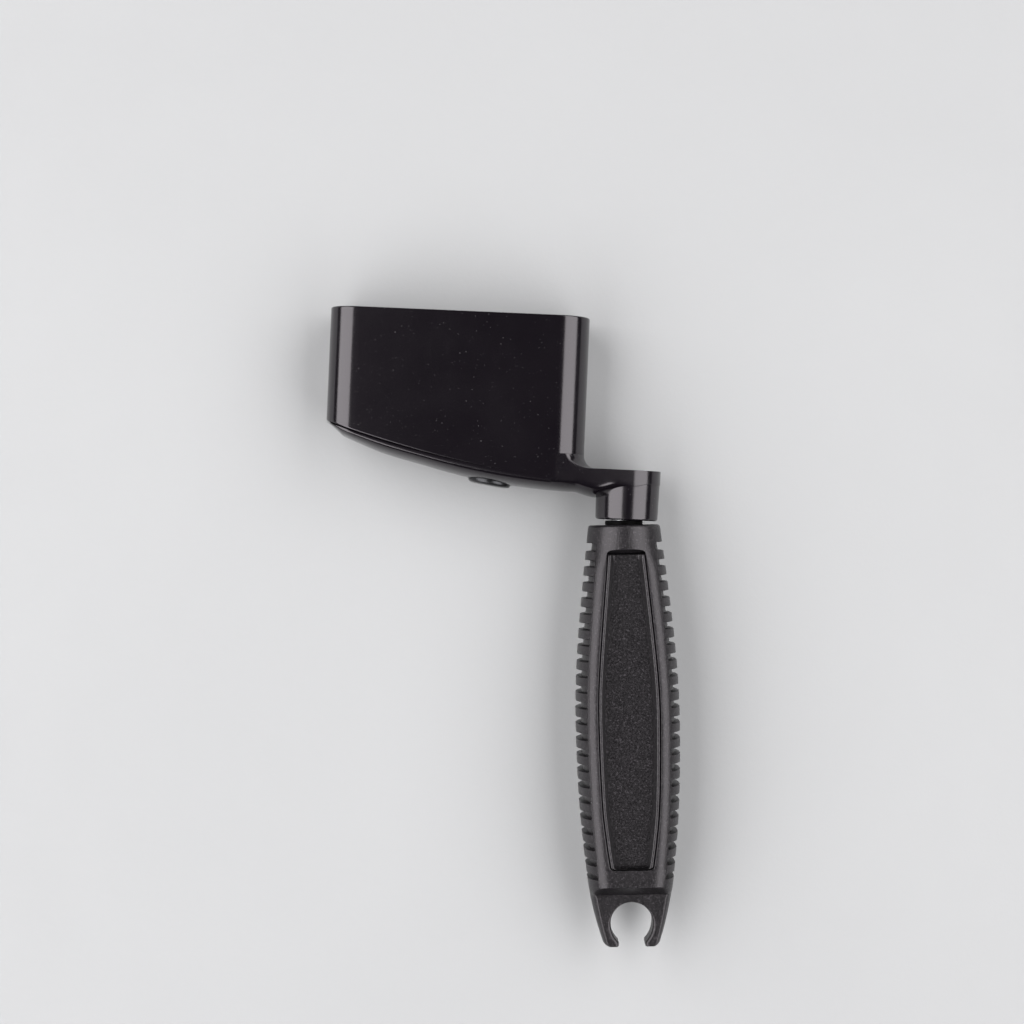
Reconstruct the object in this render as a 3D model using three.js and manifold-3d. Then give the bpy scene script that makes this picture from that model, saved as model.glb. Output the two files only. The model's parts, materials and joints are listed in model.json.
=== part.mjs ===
// A hand-cranked string winder: a deep cup on a crank arm spins on a ribbed handle with a bridge-pin notch.
// It lies on its back. +Y runs along the spindle towards the cup's mouth, +X to the right, +Z up.
// Until the last lines, the origin is on the spindle's axis at the top of the handle.
import * as THREE from "three";
import { mergeVertices } from "three/addons/utils/BufferGeometryUtils.js";
import Module from "manifold-3d";

const wasm = await Module();
wasm.setup();

// Driving dimensions, in millimetres
const GAP = 0.3; // between pieces that meet
const DEPTH = 14.4; // front to back, of cup and handle alike
const HALF_DEPTH = DEPTH / 2;
const BEYOND = 10; // how far a cutter runs past what it cuts
const ROUND = 32; // facets round a turned piece
const ARC_STEPS = 12;
const CORNER_STEPS = 6; // facets in each upright corner of the cup

// Head, measured from the middle of the hub's lower face
const HEAD_LEAN = THREE.MathUtils.degToRad(3.5); // the head leans this far towards the hub's side
const HEAD_OFFSET = 0.45; // and its hub stands this far to that side of the spindle
const HUB_LIFT = 1.25; // hub above the handle
const HUB = { top: 5.85, bottom: 5.65, height: 9, edge: 0.4 };
const CUP = { left: -55, right: -8.25, rim: 36.1, corner: 4.9, wall: 1.8, floor: 2 };
const SEAM = { x: 1.5, y: 188.5, radius: 182 }; // arc where the cup's wall meets the base plate
const UNDERSIDE = { x: -9, y: 114.7, radius: 110, end: -8 }; // arc under the base plate
const UNDERSIDE_RISE = 5.6; // height of the arm's underside at the hub
const NOSE = { height: 2.4, depth: 3.2, steps: 4 }; // rounding along the lower edges
const SHOULDER = { x: -13.6, y: 11.1 }; // step on the arm that the cup's corner stands on
const FILLET = 3; // between the shoulder and the arm's top

// Screw under the cup
const SCREW = {
  x: -25.2, head: 3.9, flat: 2.3, edge: 0.35, headHeight: 1.6, proud: 0.5, shank: 1.4, length: 7.8,
};
const SLOT = { width: 1.1, depth: 0.7 };
const BOSS = { radius: 3.2, height: 6 };

// Handle, with distances measured down from its top
const HANDLE_WIDTHS = [[0, 6.55], [10.4, 7.7], [19, 8.6], [28, 9.25], [37, 9.4], [50.4, 9],
  [61.3, 8.05], [67, 7.3], [71.5, 6.3], [75.9, 5]];
const FORK = { step: 64.5, floor: 67.2, end: 75.9, halfThickness: 2.7, tip: 2.3, tipRound: 0.8 };
const NOTCH = { at: 71.6, radius: 3.8, mouth: 2.4 };
const HALF_DEPTHS = [[-4, 6.1], [8, 6.7], [20, HALF_DEPTH], [46, HALF_DEPTH], [58, 6.75], [66, 6.1]];
const SIDE = { size: 3.8, depth: 6.1, steps: 4 }; // rounding of the handle's sides
const NECK = { radius: 6.5, foot: 6.7, length: 6, edge: 0.8 };
const BARREL_START = 1.5;
const GRIP_SHARE = 0.755; // the grips start at this share of the half width
const RIB = { first: 4.3, pitch: 2.82, width: 1.5, depth: 1, count: 21 };
const GRIP = { start: 2.8, end: 63.2 };
const OUTLINE_STEP = 2.8;

// Inlays in the handle's front and back
const INLAY_WIDTHS = [[4.4, 3.3], [26.5, 5.2], [35, 5.45], [50, 5.1], [57, 4.4], [61.2, 3.8]];
const INLAY = { thickness: 2.4, lip: 0.8, recess: 1, step: 6 };

// Spindle and its bearings
const SPINDLE = { radius: 2, end: 26.4, head: 3.1, headHeight: 1.3, sunk: 0.2, chamfer: 0.4 };
const GROOVE = { at: 24.2, width: 1, radius: 1.5 };
const RUNNING = 0.1; // radial clearance of the spindle in its bearings
const COLLAR = { radius: 3.5, thickness: 0.62 };
const BUSH = { radius: 3.4, upperStart: 0.5, upperEnd: 7, lowerStart: 17.5, lowerEnd: 22.6 };
const WASHER = { radius: 3.9, thickness: 0.6 };
const CLIP = { radius: 3.3, thickness: 0.6, mouth: 1.15 };
const BORE = { middle: 2.6, bushGap: 0.15 };
const CHAMBER = { start: 22.8, end: 31, halfWidth: 4.3 }; // room for the clip under the inlays

// Geometry to solid and back
function solidOf(geometry) {
  const bare = geometry.index ? geometry.toNonIndexed() : geometry.clone();
  bare.deleteAttribute("normal");
  bare.deleteAttribute("uv");
  const merged = mergeVertices(bare, 1e-4);
  const vertProperties = new Float32Array(merged.attributes.position.array);
  const triVerts = new Uint32Array(merged.index.array);
  return new wasm.Manifold(new wasm.Mesh({ numProp: 3, vertProperties, triVerts }));
}

function geometryOf(solid) {
  const mesh = solid.getMesh();
  const geometry = new THREE.BufferGeometry();
  geometry.setAttribute("position", new THREE.BufferAttribute(mesh.vertProperties, 3));
  geometry.setIndex(new THREE.BufferAttribute(mesh.triVerts, 1));
  geometry.computeVertexNormals();
  return geometry;
}

function meshOf(name, solid, look) {
  const mesh = new THREE.Mesh(geometryOf(solid), new THREE.MeshStandardMaterial(look));
  mesh.name = name;
  return mesh;
}

// Building blocks
const points = (pairs) => pairs.map(([x, y]) => new THREE.Vector2(x, y));
const shapeOf = (pairs) => new THREE.Shape(points(pairs));
const turned = (pairs, facets = ROUND) => new THREE.LatheGeometry(points(pairs), facets);

function disc(radius, low, high) {
  return turned([[0, low], [radius, low], [radius, high], [0, high]]);
}

function ring(inner, outer, low, high) {
  return turned([[inner, low], [outer, low], [outer, high], [inner, high], [inner, low]]);
}

// A shape in XY, as thick in Z as from -half to half
function slab(shape, half, curveSegments = ARC_STEPS) {
  const block = new THREE.ExtrudeGeometry(shape, { depth: 2 * half, bevelEnabled: false, curveSegments });
  return block.translate(0, 0, -half);
}

// The same with rounded edges that stay inside the shape
function roundedSlab(shape, half, size, depth, steps) {
  const block = new THREE.ExtrudeGeometry(shape, {
    depth: 2 * (half - depth),
    bevelSize: size,
    bevelOffset: -size,
    bevelThickness: depth,
    bevelSegments: steps,
  });
  return block.translate(0, 0, depth - half);
}

// A shape in XZ, standing in Y from low to high
function column(shape, low, high) {
  const block = new THREE.ExtrudeGeometry(shape, { depth: high - low, bevelEnabled: false, curveSegments: CORNER_STEPS });
  return block.rotateX(Math.PI / 2).translate(0, high, 0);
}

// A shape in ZY, as wide in X as from -half to half
function wide(shape, half) {
  return slab(shape, half).rotateY(-Math.PI / 2);
}

function roundedRectangle(left, right, half, radius) {
  const shape = new THREE.Shape();
  shape.moveTo(left + radius, -half);
  shape.lineTo(right - radius, -half);
  shape.absarc(right - radius, radius - half, radius, -Math.PI / 2, 0);
  shape.absarc(right - radius, half - radius, radius, 0, Math.PI / 2);
  shape.absarc(left + radius, half - radius, radius, Math.PI / 2, Math.PI);
  shape.absarc(left + radius, radius - half, radius, Math.PI, 1.5 * Math.PI);
  return shape;
}

// Height of a shallow arc, whose centre is above it, at x; drop lowers the arc evenly
function arcHeight(arc, x, drop = 0) {
  return arc.y - Math.sqrt((arc.radius + drop) ** 2 - (x - arc.x) ** 2);
}

function arcPoints(arc, from, to, drop = 0) {
  return Array.from({ length: ARC_STEPS + 1 }, (_, i) => {
    const x = from + ((to - from) * i) / ARC_STEPS;
    return [x, arcHeight(arc, x, drop)];
  });
}

// A smooth value along a list of [place, value] stations
function smooth(stations) {
  const slope = (i) => {
    const before = stations[Math.max(i - 1, 0)];
    const after = stations[Math.min(i + 1, stations.length - 1)];
    return (after[1] - before[1]) / (after[0] - before[0]);
  };
  return (place) => {
    const found = stations.findIndex(([at]) => at > place);
    const i = found < 0 ? stations.length - 2 : Math.max(found - 1, 0);
    const [[x0, y0], [x1, y1]] = [stations[i], stations[i + 1]];
    const span = x1 - x0;
    const t = (place - x0) / span;
    const bend = t * (1 - t);
    const lift = bend * ((1 - t) * (slope(i) * span - (y1 - y0)) - t * (slope(i + 1) * span - (y1 - y0)));
    return y0 + t * (y1 - y0) + lift;
  };
}

function stops(start, end, step) {
  const count = Math.ceil((end - start) / step);
  return Array.from({ length: count + 1 }, (_, i) => start + ((end - start) * i) / count);
}

// ---- Head ----

const cupPlan = (inset) =>
  roundedRectangle(CUP.left + inset, CUP.right - inset, HALF_DEPTH - inset, CUP.corner - inset);

// Everything above the line on which the cup stands, lowered by drop
function aboveSeam(drop) {
  return shapeOf([
    ...arcPoints(SEAM, CUP.left - BEYOND, SHOULDER.x, drop),
    [SHOULDER.x, SHOULDER.y - drop],
    [CUP.right, SHOULDER.y - drop],
    [CUP.right, CUP.rim + BEYOND],
    [CUP.left - BEYOND, CUP.rim + BEYOND],
  ]);
}

// The cup's hollow: its floor follows the base plate and steps up over the shoulder
function cupHollow() {
  const ledge = SHOULDER.x - CUP.floor;
  const floor = shapeOf([
    ...arcPoints(SEAM, CUP.left - BEYOND, ledge, -CUP.floor),
    [ledge, SHOULDER.y + CUP.floor],
    [CUP.right, SHOULDER.y + CUP.floor],
    [CUP.right, CUP.rim + BEYOND],
    [CUP.left - BEYOND, CUP.rim + BEYOND],
  ]);
  return solidOf(column(cupPlan(CUP.wall), 0, CUP.rim + BEYOND)).intersect(solidOf(slab(floor, DEPTH)));
}

// Puts a piece turned about Y onto the screw's axis, which is square to the underside
function onScrewAxis(geometry) {
  const slope = Math.atan2(UNDERSIDE.x - SCREW.x, UNDERSIDE.radius);
  return geometry.rotateZ(-slope).translate(SCREW.x, arcHeight(UNDERSIDE, SCREW.x), 0);
}

function socketCup() {
  const walls = solidOf(column(cupPlan(0), 0, CUP.rim)).intersect(solidOf(slab(aboveSeam(0), DEPTH)));
  const inside = solidOf(column(cupPlan(CUP.wall / 2), 0, CUP.rim));
  const boss = solidOf(onScrewAxis(disc(BOSS.radius, NOSE.height, NOSE.height + BOSS.height)));
  const pilot = solidOf(onScrewAxis(disc(SCREW.shank + GAP, -GAP, SCREW.length + GAP)));
  const shell = walls.subtract(cupHollow());
  const bossInside = boss.intersect(inside).intersect(solidOf(slab(aboveSeam(-CUP.floor / 2), DEPTH)));
  return shell.add(bossInside).subtract(pilot);
}

// Outline of the arm seen along the spindle: as deep as the cup, then narrowing onto the hub
function armPlan() {
  const cornerX = CUP.right - CUP.corner;
  const reach = Math.hypot(cornerX, HALF_DEPTH);
  const tangent = Math.atan2(HALF_DEPTH, cornerX) - Math.acos(HUB.top / reach);
  const shape = new THREE.Shape();
  shape.moveTo(cornerX, HALF_DEPTH);
  shape.absarc(CUP.left + CUP.corner, HALF_DEPTH - CUP.corner, CUP.corner, Math.PI / 2, Math.PI);
  shape.absarc(CUP.left + CUP.corner, CUP.corner - HALF_DEPTH, CUP.corner, Math.PI, 1.5 * Math.PI);
  shape.lineTo(cornerX, -HALF_DEPTH);
  shape.absarc(0, 0, HUB.top, -tangent, tangent);
  return shape;
}

// What lies above the arm: the cup's place, the fillet and the space over the arm
function aboveArm() {
  const filletX = CUP.right + FILLET;
  const filletY = HUB.height + FILLET;
  const shape = shapeOf([
    ...arcPoints(SEAM, CUP.left - BEYOND, SHOULDER.x + GAP, GAP),
    [SHOULDER.x + GAP, SHOULDER.y - GAP],
  ]);
  const meets = Math.PI + Math.asin((filletY - SHOULDER.y + GAP) / FILLET);
  shape.absarc(filletX, filletY, FILLET, meets, 1.5 * Math.PI);
  shape.lineTo(BEYOND, HUB.height);
  shape.lineTo(BEYOND, CUP.rim);
  shape.lineTo(CUP.left - BEYOND, CUP.rim);
  return shape;
}

function crankArm() {
  const outline = shapeOf([
    ...arcPoints(UNDERSIDE, CUP.left - BEYOND, UNDERSIDE.end),
    [0, UNDERSIDE_RISE],
    [2 * BEYOND, UNDERSIDE_RISE],
    [2 * BEYOND, CUP.rim],
    [CUP.left - BEYOND, CUP.rim],
  ]);
  const plate = solidOf(roundedSlab(outline, HALF_DEPTH, NOSE.height, NOSE.depth, NOSE.steps))
    .subtract(solidOf(slab(aboveArm(), DEPTH)))
    .intersect(solidOf(column(armPlan(), -BEYOND, CUP.rim)));
  const hub = solidOf(turned([
    [0, 0],
    [HUB.bottom - HUB.edge, 0],
    [HUB.bottom, HUB.edge],
    [HUB.top, HUB.height - HUB.edge / 2],
    [HUB.top - HUB.edge / 2, HUB.height],
    [0, HUB.height],
  ]));
  const screwHole = solidOf(onScrewAxis(disc(SCREW.shank + GAP, -GAP, BEYOND)));
  const screwSeat = solidOf(onScrewAxis(disc(SCREW.head + GAP, -BEYOND, SCREW.headHeight - SCREW.proud)));
  return plate.add(hub).subtract(screwHole).subtract(screwSeat).subtract(spindleHoleInHub());
}

// The spindle's axis is the handle's, so in the leaning head its hole is turned back
function spindleHoleInHub() {
  const counterbore = HUB.height - SPINDLE.headHeight - SPINDLE.sunk - GAP;
  const hole = turned([
    [0, -BEYOND],
    [SPINDLE.radius + RUNNING, -BEYOND],
    [SPINDLE.radius + RUNNING, counterbore],
    [SPINDLE.head + GAP, counterbore],
    [SPINDLE.head + GAP, HUB.height + BEYOND],
    [0, HUB.height + BEYOND],
  ]);
  return solidOf(hole.translate(-HEAD_OFFSET, 0, 0).rotateZ(HEAD_LEAN));
}

function cupScrew() {
  const seat = SCREW.headHeight - SCREW.proud - GAP;
  const body = solidOf(turned([
    [0, -SCREW.proud],
    [SCREW.flat, -SCREW.proud],
    [SCREW.head, SCREW.edge - SCREW.proud],
    [SCREW.head, seat],
    [SCREW.shank, seat],
    [SCREW.shank, SCREW.length - SCREW.shank],
    [0, SCREW.length],
  ]));
  const driver = [[SCREW.head, SLOT.width], [SLOT.width, SCREW.head]].map(([across, along]) =>
    solidOf(new THREE.BoxGeometry(across, 2 * SLOT.depth, along).translate(0, -SCREW.proud, 0)));
  const cut = driver.reduce((left, slot) => left.subtract(slot), body);
  return solidOf(onScrewAxis(geometryOf(cut)));
}

// ---- Spindle, in the handle's frame with y upwards from the handle's top ----

function spindle() {
  const top = HUB_LIFT + HUB.height - SPINDLE.sunk;
  const below = top - SPINDLE.headHeight;
  return solidOf(turned([
    [0, -SPINDLE.end],
    [SPINDLE.radius - SPINDLE.chamfer, -SPINDLE.end],
    [SPINDLE.radius, SPINDLE.chamfer - SPINDLE.end],
    [SPINDLE.radius, -GROOVE.at - GROOVE.width],
    [GROOVE.radius, -GROOVE.at - GROOVE.width],
    [GROOVE.radius, -GROOVE.at],
    [SPINDLE.radius, -GROOVE.at],
    [SPINDLE.radius, below],
    [SPINDLE.head, below],
    [SPINDLE.head, top - SPINDLE.chamfer],
    [SPINDLE.head - SPINDLE.chamfer, top],
    [0, top],
  ]));
}

function thrustCollar() {
  const low = (HUB_LIFT - COLLAR.thickness) / 2;
  return solidOf(ring(SPINDLE.radius + RUNNING, COLLAR.radius, low, low + COLLAR.thickness));
}

function clipWasher() {
  const top = -BUSH.lowerEnd - GAP;
  return solidOf(ring(SPINDLE.radius + RUNNING, WASHER.radius, top - WASHER.thickness, top));
}

function spindleClip() {
  const middle = -GROOVE.at - GROOVE.width / 2;
  const low = middle - CLIP.thickness / 2;
  const whole = solidOf(ring(GROOVE.radius + RUNNING, CLIP.radius, low, low + CLIP.thickness));
  const mouth = new THREE.BoxGeometry(2 * CLIP.mouth, 2 * CLIP.thickness, CLIP.radius);
  return whole.subtract(solidOf(mouth.translate(0, middle, CLIP.radius / 2 + GROOVE.radius / 2)));
}

function bush(start, end) {
  return solidOf(ring(SPINDLE.radius + RUNNING, BUSH.radius, -end, -start));
}

// ---- Handle ----

const halfWidth = smooth(HANDLE_WIDTHS);
const inlayHalfWidth = smooth(INLAY_WIDTHS);
const smoothDepth = smooth(HALF_DEPTHS);
const halfDepth = (down) => Math.min(smoothDepth(down), HALF_DEPTH);

// A closed outline in XY that is mirrored about the axis, from a half width along the handle
function mirrored(half, start, end, step) {
  const right = stops(start, end, step).map((down) => [half(down), -down]);
  const left = right.map(([x, y]) => [-x, y]).reverse();
  return shapeOf([...right, ...left]);
}

// The handle seen from its side, in ZY, with its surface lowered by inset
function sideOutline(inset, start, end) {
  const front = stops(start, end, OUTLINE_STEP).map((down) => [halfDepth(down) - inset, -down]);
  return shapeOf([...front, ...front.map(([z, y]) => [-z, y]).reverse()]);
}

// The fork's plate from the side: a hollow curve leads down to it from the thicker grip
function forkOutline() {
  const curve = FORK.floor - FORK.step;
  const hollow = stops(0, Math.PI / 2, Math.PI / 8).map((turn) => [
    FORK.halfThickness + curve * (1 - Math.sin(turn)),
    curve * Math.cos(turn) - FORK.floor,
  ]);
  const front = [[FORK.halfThickness + curve, curve - FORK.step], ...hollow, [FORK.tip, -FORK.end - BEYOND]];
  return shapeOf([...front, ...front.map(([z, y]) => [-z, y]).reverse()]);
}

function forkTips() {
  const half = halfWidth(FORK.end);
  const shape = new THREE.Shape();
  shape.moveTo(BEYOND, BEYOND);
  shape.lineTo(-BEYOND, BEYOND);
  shape.lineTo(-BEYOND, -FORK.step);
  shape.lineTo(-half - FORK.tipRound, FORK.tipRound - FORK.end);
  shape.quadraticCurveTo(-half, -FORK.end, FORK.tipRound - half, -FORK.end);
  shape.lineTo(half - FORK.tipRound, -FORK.end);
  shape.quadraticCurveTo(half, -FORK.end, half + FORK.tipRound, FORK.tipRound - FORK.end);
  shape.lineTo(BEYOND, -FORK.step);
  return shape;
}

function notch() {
  const opens = Math.asin(NOTCH.mouth / NOTCH.radius);
  const shape = new THREE.Shape();
  shape.moveTo(NOTCH.mouth, -FORK.end - BEYOND);
  shape.absarc(0, -NOTCH.at, NOTCH.radius, opens - Math.PI / 2, 1.5 * Math.PI - opens);
  shape.lineTo(-NOTCH.mouth, -FORK.end - BEYOND);
  return shape;
}

// The whole outer form of the handle below its neck, grips and inlays included
function barrel() {
  const right = stops(0, FORK.end, OUTLINE_STEP).map((down) => [halfWidth(down), -down]);
  const [top, foot] = [right[0][0], right.at(-1)[0]];
  right.unshift([top, BEYOND]);
  right.push([foot, -FORK.end - BEYOND]);
  const outline = shapeOf([...right, ...right.map(([x, y]) => [-x, y]).reverse()]);
  const { size, depth, steps } = SIDE;
  const front = solidOf(roundedSlab(outline, HALF_DEPTH, size, depth, steps));
  const grip = solidOf(wide(sideOutline(0, BARREL_START, FORK.step), BEYOND));
  const fork = solidOf(wide(forkOutline(), BEYOND)).intersect(solidOf(slab(forkTips(), DEPTH)));
  return front.intersect(grip.add(fork)).subtract(solidOf(slab(notch(), DEPTH, ROUND / 2)));
}

// The strip of handle outside the grips' boundary on one side: 1 is right, -1 is left
function gripBand(side, gap) {
  const edge = stops(GRIP.start - gap, GRIP.end + gap, OUTLINE_STEP).map((down) => [
    side * (GRIP_SHARE * halfWidth(down) - gap),
    -down,
  ]);
  return slab(shapeOf([...edge, [side * BEYOND, edge.at(-1)[1]], [side * BEYOND, edge[0][1]]]), DEPTH);
}

// The gaps between the ribs, as one comb beside the handle: its back lies at twice BEYOND
function combCut(side) {
  const teeth = [[side * 2 * BEYOND, GAP - GRIP.start]];
  for (let i = 0; i <= RIB.count; i += 1) {
    const start = i === 0 ? GRIP.start - GAP : RIB.first + (i - 1) * RIB.pitch + RIB.width;
    const end = i === RIB.count ? GRIP.end + GAP : RIB.first + i * RIB.pitch;
    teeth.push([side * BEYOND, -start], [side * (halfWidth(start) - RIB.depth), -start]);
    teeth.push([side * (halfWidth(end) - RIB.depth), -end], [side * BEYOND, -end]);
  }
  teeth.push([side * 2 * BEYOND, -GRIP.end - GAP]);
  return slab(shapeOf(teeth), DEPTH);
}

function ribbedGrip(whole, side) {
  return whole.intersect(solidOf(gripBand(side, 0))).subtract(solidOf(combCut(side)));
}

// The inlay's outline from the front, with its sides moved in and its ends moved out
function inlayOutline(sides, ends) {
  const [first, last] = [INLAY_WIDTHS[0][0], INLAY_WIDTHS.at(-1)[0]];
  return mirrored((down) => inlayHalfWidth(down) - sides, first - ends, last + ends, INLAY.step);
}

// Everything in front of (or, for side -1, behind) the handle's surface lowered by inset
function skinAbove(inset, side) {
  const surface = stops(0, FORK.step, OUTLINE_STEP).map((down) => [side * (halfDepth(down) - inset), -down]);
  const far = side * DEPTH;
  return wide(shapeOf([...surface, [far, -FORK.step], [far, 0]]), BEYOND);
}

// A channel whose two lips are flush with the handle and whose floor lies below it, open at both ends
function inlay(side) {
  const strip = solidOf(slab(inlayOutline(0, 0), DEPTH))
    .intersect(solidOf(skinAbove(INLAY.thickness, side)))
    .subtract(solidOf(skinAbove(0, side)));
  const recess = slab(inlayOutline(INLAY.lip, GAP), DEPTH);
  return strip.subtract(solidOf(recess).intersect(solidOf(skinAbove(INLAY.recess, side))));
}

function handleBody(whole) {
  const neck = solidOf(turned([
    [0, -NECK.length],
    [NECK.foot, -NECK.length],
    [NECK.radius, -NECK.edge],
    [NECK.radius - NECK.edge / 2, 0],
    [0, 0],
  ]));
  const bore = solidOf(turned([
    [0, -CHAMBER.start - GAP],
    [BUSH.radius + BORE.bushGap, -CHAMBER.start - GAP],
    [BUSH.radius + BORE.bushGap, -BUSH.lowerStart + GAP],
    [BORE.middle, -BUSH.lowerStart + GAP],
    [BORE.middle, -BUSH.upperEnd - GAP],
    [BUSH.radius + BORE.bushGap, -BUSH.upperEnd - GAP],
    [BUSH.radius + BORE.bushGap, BEYOND],
    [0, BEYOND],
  ]));
  const chamber = new THREE.BoxGeometry(2 * CHAMBER.halfWidth, CHAMBER.end - CHAMBER.start, DEPTH);
  chamber.translate(0, -(CHAMBER.start + CHAMBER.end) / 2, 0);
  let body = whole.add(neck);
  for (const side of [1, -1]) {
    const pocket = solidOf(slab(inlayOutline(-GAP, GAP), DEPTH));
    body = body.subtract(pocket.intersect(solidOf(skinAbove(INLAY.thickness + GAP, side))));
    body = body.subtract(solidOf(gripBand(side, GAP)));
  }
  return body.subtract(bore).subtract(solidOf(chamber));
}

// ---- Looks and assembly ----

const gloss = { color: 0x100d12, roughness: 0.28 };
const textured = { color: 0x2b282c, roughness: 0.8 };
const ribbed = { color: 0x29262a, roughness: 0.85 };
const panel = { color: 0x262327, roughness: 0.75 };
const black = { color: 0x141214, roughness: 0.5 };
const steel = { color: 0xb9bbbe, roughness: 0.3, metalness: 1 };
const darkSteel = { color: 0x2a2a2c, roughness: 0.35, metalness: 0.9 };

const head = new THREE.Group();
head.position.set(HEAD_OFFSET, HUB_LIFT, 0);
head.rotation.z = -HEAD_LEAN;
head.add(meshOf("socket_cup", socketCup(), gloss));
head.add(meshOf("crank_arm", crankArm(), gloss));
head.add(meshOf("cup_screw", cupScrew(), darkSteel));

const bearing = new THREE.Group();
bearing.add(meshOf("spindle", spindle(), steel));
bearing.add(meshOf("thrust_collar", thrustCollar(), black));
bearing.add(meshOf("clip_washer", clipWasher(), steel));
bearing.add(meshOf("spindle_clip", spindleClip(), steel));

const whole = barrel();
const handle = new THREE.Group();
handle.add(meshOf("handle_body", handleBody(whole), textured));
handle.add(meshOf("left_grip", ribbedGrip(whole, -1), ribbed));
handle.add(meshOf("right_grip", ribbedGrip(whole, 1), ribbed));
handle.add(meshOf("front_inlay", inlay(1), panel));
handle.add(meshOf("rear_inlay", inlay(-1), panel));
handle.add(meshOf("upper_bush", bush(BUSH.upperStart, BUSH.upperEnd), black));
handle.add(meshOf("lower_bush", bush(BUSH.lowerStart, BUSH.lowerEnd), black));

const winder = new THREE.Group();
winder.add(head, bearing, handle);

// The part's own frame starts under the middle of its box, on the surface that it lies on
const box = new THREE.Box3().setFromObject(winder, true);
const middle = box.getCenter(new THREE.Vector3());
winder.position.set(-middle.x, -middle.y, -box.min.z);

export default winder;
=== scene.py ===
"""A hand-cranked string winder: gloss black head, spark-textured handle, lying on a pale floor."""

import json
import math

import bmesh
import bpy
import numpy as np
from mathutils import Euler, Matrix, Vector


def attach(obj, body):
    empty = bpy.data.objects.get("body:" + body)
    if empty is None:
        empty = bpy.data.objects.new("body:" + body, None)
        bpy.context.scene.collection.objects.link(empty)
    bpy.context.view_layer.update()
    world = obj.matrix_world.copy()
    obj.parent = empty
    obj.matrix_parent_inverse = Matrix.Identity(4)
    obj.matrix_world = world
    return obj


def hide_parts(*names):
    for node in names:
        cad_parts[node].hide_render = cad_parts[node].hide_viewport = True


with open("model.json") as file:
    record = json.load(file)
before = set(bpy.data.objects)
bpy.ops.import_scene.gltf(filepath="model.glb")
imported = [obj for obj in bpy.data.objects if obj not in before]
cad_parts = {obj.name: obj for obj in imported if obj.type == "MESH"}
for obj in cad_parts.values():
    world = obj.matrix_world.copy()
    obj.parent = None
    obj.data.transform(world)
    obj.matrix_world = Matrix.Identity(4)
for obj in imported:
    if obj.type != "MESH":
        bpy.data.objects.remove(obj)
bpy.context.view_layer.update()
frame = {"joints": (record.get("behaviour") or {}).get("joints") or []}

MM = 0.001

# The spindle's axis at the handle's top is where every measure below starts, in millimetres.
HINGE = Vector(frame["joints"][0]["pos_m"])
HALF_DEPTH = HINGE.z / MM

HEAD_LEAN = math.radians(3.5)
HEAD_OFFSET = 0.45
HUB_LIFT = 1.25

# Head, from the middle of the hub's lower face
HUB = {"top": 5.87, "waist": 5.78, "bottom": 5.65, "height": 9.0, "edge": 0.45,
       "waist_at": 6.3, "buried": 7.6}
CUP = {"left": -55.0, "right": -8.25, "rim": 36.1, "corner": 4.9, "near_corner": 5.4, "wall": 1.8,
       "floor": 2.0, "inner_edge": 0.9}
SEAM = {"x": 1.5, "y": 188.5, "radius": 182.0}
UNDERSIDE = {"x": -9.0, "y": 114.7, "radius": 110.0}
UNDER_HUB = [(-9.6, 4.7), (-5.8, 3.85), (-2.9, 4.6), (-0.3, 5.3), (3.0, 6.5), (6.0, 6.5)]  # beside the hub
NOSE = {"height": 2.4, "depth": 6.0, "fade": 0.95, "fade_from": -3.5, "fade_over": 6.0}  # its lower edges
FOOT_DROP = {"drop": 0.42, "from": -36.5, "over": 10.0, "end": 3.0}  # the underside's fuller free end
THINNEST = 0.15  # the arm at its free end
SHOULDER = {"x": -14.1, "y": 11.4}
FILLET = 2.4
LEDGE = 0.3  # how far the fillet starts from the cup's front corner
SEAM_GAP = 0.06
EDGE = 0.3
FOOT_EDGE = 0.42
ARM_EDGE = 0.12
SEAM_FADE = {"from": -46.0, "to": -20.0, "fade": 0.9}  # the seam's edges sharpen between these places

SCREW = {"x": -25.2, "head": 3.9, "height": 1.6, "proud": 0.7, "recess": 2.1, "slot": 0.9, "slot_depth": 0.9,
         "slot_taper": 0.72, "seat": 4.15, "seat_gap": 0.05}
BOSS = {"radius": 3.0, "top": 14.4, "flare": 1.2, "sunk": 1.0, "flare_base": 0.4, "edge": 0.2, "bore": 1.7,
        "bore_depth": 2.4}

# Handle, measured down from its top
HANDLE_WIDTHS = [(0, 6.55), (10.4, 7.7), (19, 8.6), (28, 9.25), (37, 9.4), (50.4, 9.0),
                 (61.3, 8.05), (67, 7.3), (71.5, 6.3), (75.9, 5.0)]
HALF_DEPTHS = [(-4, 6.1), (8, 6.7), (20, HALF_DEPTH), (46, HALF_DEPTH), (58, 6.75), (66, 6.1)]
SIDE = {"size": 3.8, "depth": 6.1}
NECK = {"top": -0.4, "radius": 6.55, "round_until": 2.6, "flat_from": 8.0, "edge": 0.6}
GRIP = {"share": 0.755, "start": 2.8, "end": 63.2, "gap": 0.06, "from_edge": 1.9, "wall": 0.45}
RIB = {"first": 4.3, "pitch": 2.82, "width": 1.5, "depth": 1.0, "count": 21, "edge": 0.2}
FORK = {"step": 64.45, "wall": 66.4, "drop": 3.35, "floor": 67.2, "end": 75.9, "half": 2.7, "tip": 2.3,
        "corner": 0.85, "edge": 0.35}
FORK_BAND = [(64.5, 1.0), (67.2, 0.95), (71.5, 0.8), (75.9, 0.6)]  # width of its rounded sides
FORK_ARRIS = 0.5
NOTCH = {"at": 71.6, "radius": 3.8, "long": 4.5, "mouth": 2.4, "round": 0.6, "flare": 0.25, "clear": 6.0}
INLAY_WIDTHS = [(4.4, 3.4), (26.5, 5.35), (35, 5.6), (50, 5.2), (57, 4.5), (61.2, 3.9)]
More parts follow.
